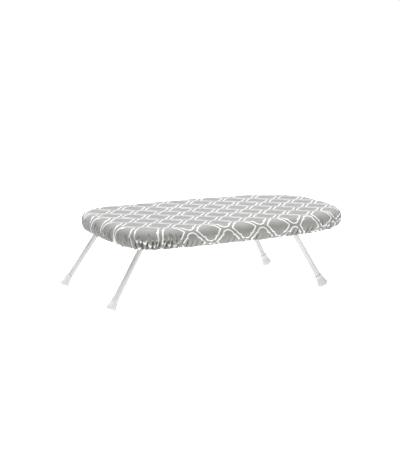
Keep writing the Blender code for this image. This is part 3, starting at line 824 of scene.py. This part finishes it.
def make_rim():
    verts, faces = sweep(outline_ring(EDGE_RADIUS, RIM_Z), RIM_RADIUS, 20, closed=True)
    new_piece("rim_frame", verts, faces, "coat", "board", ["rim_tube"])


DIAMOND_LONG = 0.0170
DIAMOND_SHORT = 0.0085
STRAND = 0.00143
STRAND_THICKNESS = 0.0009
DECK_BAND = 0.020
DECK_LAP = 0.003  # how far the diamonds stay inside the band's edge


def inside_outline(x, y, inset):
    """Whether points lie inside the board's outline moved in by inset."""
    middle = BOARD_X - HALF_LENGTH + HEEL_REACH
    halves = [(x < middle, HEEL_REACH, HEEL_POWER), (x >= middle, NOSE_REACH, NOSE_POWER)]
    held = np.zeros(np.shape(x), bool)
    for here, reach, power in halves:
        along = np.abs(x - middle) / (reach - inset)
        across = np.abs(y) / (HALF_WIDTH - inset)
        held |= here & (along**power + across**power < 1)
    return held


def make_deck():
    """Expanded-metal sheet: staggered diamonds in a plain band."""
    inset = float(EDGE_RADIUS - RIM_RADIUS * 0.4)
    bm = bmesh.new()
    found = {}

    def corner(i, j):
        key = (i, j)
        if key not in found:
            found[key] = bm.verts.new((i * DIAMOND_LONG / 2, j * DIAMOND_SHORT / 2, 0.0))
        return found[key]

    low = math.floor(DECK_LOW.x / (DIAMOND_LONG / 2))
    high = math.ceil(DECK_HIGH.x / (DIAMOND_LONG / 2))
    wide = math.ceil(DECK_HIGH.y / (DIAMOND_SHORT / 2))
    for i in range(low, high + 1):
        for j in range(-wide, wide + 1):
            if (i + j) % 2:
                continue
            spots = [(i - 1, j), (i, j - 1), (i + 1, j), (i, j + 1)]
            x = np.array([a * DIAMOND_LONG / 2 for a, _ in spots])
            y = np.array([b * DIAMOND_SHORT / 2 for _, b in spots])
            if inside_outline(x, y, inset + DECK_LAP).all():
                bm.faces.new([corner(a, b) for a, b in spots])
    cells = list(bm.faces)
    bmesh.ops.inset_individual(bm, faces=cells, thickness=STRAND / 2, use_even_offset=True)
    bmesh.ops.delete(bm, geom=cells, context="FACES")
    for vert in bm.verts:
        vert.co.z = (DECK_LOW.z + DECK_HIGH.z) / 2
    mesh = bpy.data.meshes.new("mesh_deck")
    bm.to_mesh(mesh)
    bm.free()
    piece = finish_piece("mesh_deck", mesh, "coat", "board", ["deck_sheet"])
    solid = piece.modifiers.new("strand", "SOLIDIFY")
    solid.thickness = STRAND_THICKNESS
    solid.offset = 0.0
    edge = [
        (inset, DECK_LOW.z),
        (inset, DECK_HIGH.z),
        (inset + DECK_BAND, DECK_HIGH.z),
        (inset + DECK_BAND, DECK_LOW.z),
        (inset, DECK_LOW.z),
    ]
    verts, faces = lofted(edge, False, False)
    band = new_piece("deck_band", verts, faces, "coat", "board", flat=True)
    tidy_normals(band)


def tidy_normals(piece, merge=True):
    """Turns the faces outward, first joining points that lie in one place."""
    bm = bmesh.new()
    bm.from_mesh(piece.data)
    if merge:
        bmesh.ops.remove_doubles(bm, verts=bm.verts, dist=1e-6)
    bmesh.ops.recalc_face_normals(bm, faces=bm.faces)
    bm.to_mesh(piece.data)
    bm.free()


# ------------------------------------------------------------------ leg frames and feet
LEG_SPLAY = math.radians(7.0)
LEG_END_BAND = 0.0025  # the height that a tube's lower end takes up
BEND_RADIUS = 0.018
TUBE_RADIUS = 0.00635
CAP_LENGTH = 0.029
CAP_SOCKET = 0.022
CAP_GAP = 0.0003  # from the tube's end to the socket's floor


def leg_geometry(name):
    """A leg frame's own plane, its tube's lower end there and how far out its corners lie."""
    joint = JOINTS[f"{name}_legs"]
    pivot = Vector(joint["pos_m"])
    side = -1 if name == "left" else 1
    lean = math.radians(max(abs(a) for a in joint["range_deg"]) - 90.0)
    to_frame = Matrix.Translation(pivot) @ Matrix.Rotation(-side * lean, 4, "Y")
    inverse = to_frame.inverted()
    local = np.array([inverse @ v.co for v in frame["nodes"][f"{name}_leg_frame"].data.vertices])
    low = local[:, 2].min()
    ends = local[(local[:, 2] < low + LEG_END_BAND) & (local[:, 1] > 0)]
    end = Vector((0.0, ends[:, 1].mean(), (ends[:, 2].min() + ends[:, 2].max()) / 2))
    top_y = end.y + end.z * math.tan(LEG_SPLAY)
    return to_frame, end, top_y


def leg_line(end, top_y):
    """A leg frame's centre line in its own plane: Y across, -Z down the legs."""
    steps = 12
    turn = math.pi / 2 - LEG_SPLAY
    tangent = BEND_RADIUS * math.tan(turn / 2)
    down = Vector((0.0, math.sin(LEG_SPLAY), -math.cos(LEG_SPLAY)))
    corner = Vector((0.0, top_y, 0.0))
    below = corner + down * tangent
    half = [end + (below - end) * k / steps for k in range(steps + 1)]
    centre = Vector((0.0, top_y - tangent, -BEND_RADIUS))
    for k in range(1, steps + 1):
        angle = turn * (1 - k / steps)
        half.append(centre + BEND_RADIUS * Vector((0.0, math.sin(angle), math.cos(angle))))
    mirrored = [Vector((0.0, -p.y, p.z)) for p in half[::-1]]
    return half + mirrored


def cap_profile():
    """(radius, height) of the soft foot cap, its end at height 0: collar, waist, bell, rounded end."""
    bore = TUBE_RADIUS + 0.0001
    return [
        (0.0, CAP_LENGTH - CAP_SOCKET),
        (bore, CAP_LENGTH - CAP_SOCKET),
        (bore, CAP_LENGTH - 0.0006),
        (bore + 0.0006, CAP_LENGTH),
        (0.0079, CAP_LENGTH - 0.0002),
        (0.0083, CAP_LENGTH - 0.0009),
        (0.0083, CAP_LENGTH - 0.0021),
        (0.0080, CAP_LENGTH - 0.0026),
        (0.0080, 0.0222),
        (0.0082, 0.0200),
        (0.0088, 0.0175),
        (0.0097, 0.0140),
        (0.0106, 0.0108),
        (0.0114, 0.0082),
        (0.0118, 0.0064),
        (0.0120, 0.0048),
        (0.0118, 0.0034),
        (0.0111, 0.0021),
        (0.0099, 0.0011),
        (0.0082, 0.0005),
        (0.0050, 0.0001),
        (0.0, 0.0),
    ]


def make_legs(name):
    body = f"{name}_legs"
    to_frame, end, top_y = leg_geometry(name)
    line = [to_frame @ p for p in leg_line(end, top_y)]
    verts, faces = sweep(line, TUBE_RADIUS, 28)
    new_piece(f"{name}_leg_tube", verts, faces, "coat", body, [f"{name}_leg_frame"])
    for y_name, y_side in (("front", -1), ("rear", 1)):
        down = Vector((0.0, y_side * math.sin(LEG_SPLAY), -math.cos(LEG_SPLAY)))
        foot = Vector((0.0, y_side * end.y, end.z)) + down * (CAP_LENGTH - CAP_SOCKET + CAP_GAP)
        turn = to_frame @ Matrix.Translation(foot) @ Matrix.Rotation(y_side * LEG_SPLAY, 4, "X")
        verts, faces = turned(cap_profile(), 40)
        verts = [turn @ Vector(v) for v in verts]
        for v in verts:
            v.z = max(v.z, 0.0)
        piece = new_piece(
            f"{name}_{y_name}_foot", verts, faces, "cap", body, [f"{name}_{y_name}_cap"]
        )
        tidy_normals(piece)


# ------------------------------------------------------------------ carried-over hardware
def soften(node, width):
    """Rounds a CAD node's sharp edges for the picture; its own mesh stays as it is."""
    weld = node.modifiers.new("weld", "WELD")
    weld.merge_threshold = 0.00002
    bevel = node.modifiers.new("edge", "BEVEL")
    bevel.width = width
    bevel.segments = 2
    bevel.limit_method = "ANGLE"
    bevel.angle_limit = math.radians(32)


def paint(node, finish):
    for slot in node.material_slots:
        slot.link = "OBJECT"
        slot.material = FINISHES[finish]


def dress_hardware():
    widths = {"channel": 0.0004, "saddle": 0.0004, "clip": 0.0005, "tang": 0.0006}
    finishes = {"channel": "coat", "saddle": "coat", "clip": "clip", "tang": "coat", "rivet": "rivet"}
    for name, node in frame["nodes"].items():
        kind = name.rsplit("_", 1)[-1]
        if node.hide_render:
            continue
        paint(node, finishes[kind])
        if kind in widths:
            soften(node, widths[kind])


# ------------------------------------------------------------------ floor and light
FLOOR_REACH = 30.0
FLOOR_GLOW = 0.86
OVERHEAD_WATTS = 77.0
KEY_WATTS = 6.0
SKY_STRENGTH = 0.27


def make_stage():
    """A pale floor that gives off most of its own light, so that it stays even under the board."""
    shader = Shader("floor_paint", (0.62, 0.62, 0.62), 0.9)
    place = shader.object_place()
    speck = shader.noise(place, 120.0, 2.0, 0.5)
    shader.feed("Roughness", shader.ramp(speck, 0.85, 0.95))
    shader.set("Emission Color", (1.0, 1.0, 1.0, 1.0))
    shader.set("Emission Strength", FLOOR_GLOW)
    mesh = bpy.data.meshes.new("floor")
    corners = [(-FLOOR_REACH, -FLOOR_REACH, 0), (FLOOR_REACH, -FLOOR_REACH, 0)]
    corners += [(FLOOR_REACH, FLOOR_REACH, 0), (-FLOOR_REACH, FLOOR_REACH, 0)]
    mesh.from_pydata(corners, [], [(0, 1, 2, 3)])
    floor = bpy.data.objects.new("floor", mesh)
    bpy.context.scene.collection.objects.link(floor)
    mesh.materials.append(shader.material)


def area_light(name, place, target, size, power):
    light = bpy.data.lights.new(name, "AREA")
    light.shape = "RECTANGLE"
    light.size, light.size_y = size
    light.energy = power
    lamp = bpy.data.objects.new(name, light)
    bpy.context.scene.collection.objects.link(lamp)
    lamp.location = place
    lamp.rotation_mode = "QUATERNION"
    lamp.rotation_quaternion = (Vector(place) - Vector(target)).to_track_quat("Z", "Y")


def make_light():
    """A large soft light overhead, a weak one in front, and a sky that the camera sees as plain white."""
    middle = (BOARD_X, 0.0, 0.1)
    area_light("overhead", (0.15, 0.35, 2.2), middle, (1.5, 1.2), OVERHEAD_WATTS)
    area_light("key", (0.7, -2.4, 1.2), middle, (1.0, 1.0), KEY_WATTS)
    world = bpy.data.worlds.new("studio")
    bpy.context.scene.world = world
    world.use_nodes = True
    tree = world.node_tree
    background = tree.nodes["Background"]
    background.inputs["Color"].default_value = (0.97, 0.98, 1.0, 1.0)
    background.inputs["Strength"].default_value = SKY_STRENGTH
    backdrop = tree.nodes.new("ShaderNodeBackground")
    backdrop.inputs["Color"].default_value = (1.0, 1.0, 1.0, 1.0)
    chooser = tree.nodes.new("ShaderNodeMixShader")
    tree.links.new(tree.nodes.new("ShaderNodeLightPath").outputs["Is Camera Ray"], chooser.inputs[0])
    tree.links.new(background.outputs[0], chooser.inputs[1])
    tree.links.new(backdrop.outputs[0], chooser.inputs[2])
    tree.links.new(chooser.outputs[0], tree.nodes["World Output"].inputs[0])
    bpy.context.scene.view_settings.view_transform = "Standard"


# ------------------------------------------------------------------ assembly
make_padding()
make_rim()
make_deck()
for end_name in ("left", "right"):
    make_legs(end_name)
dress_cover()
dress_hardware()
make_stage()
make_light()

bpy.context.view_layer.update()
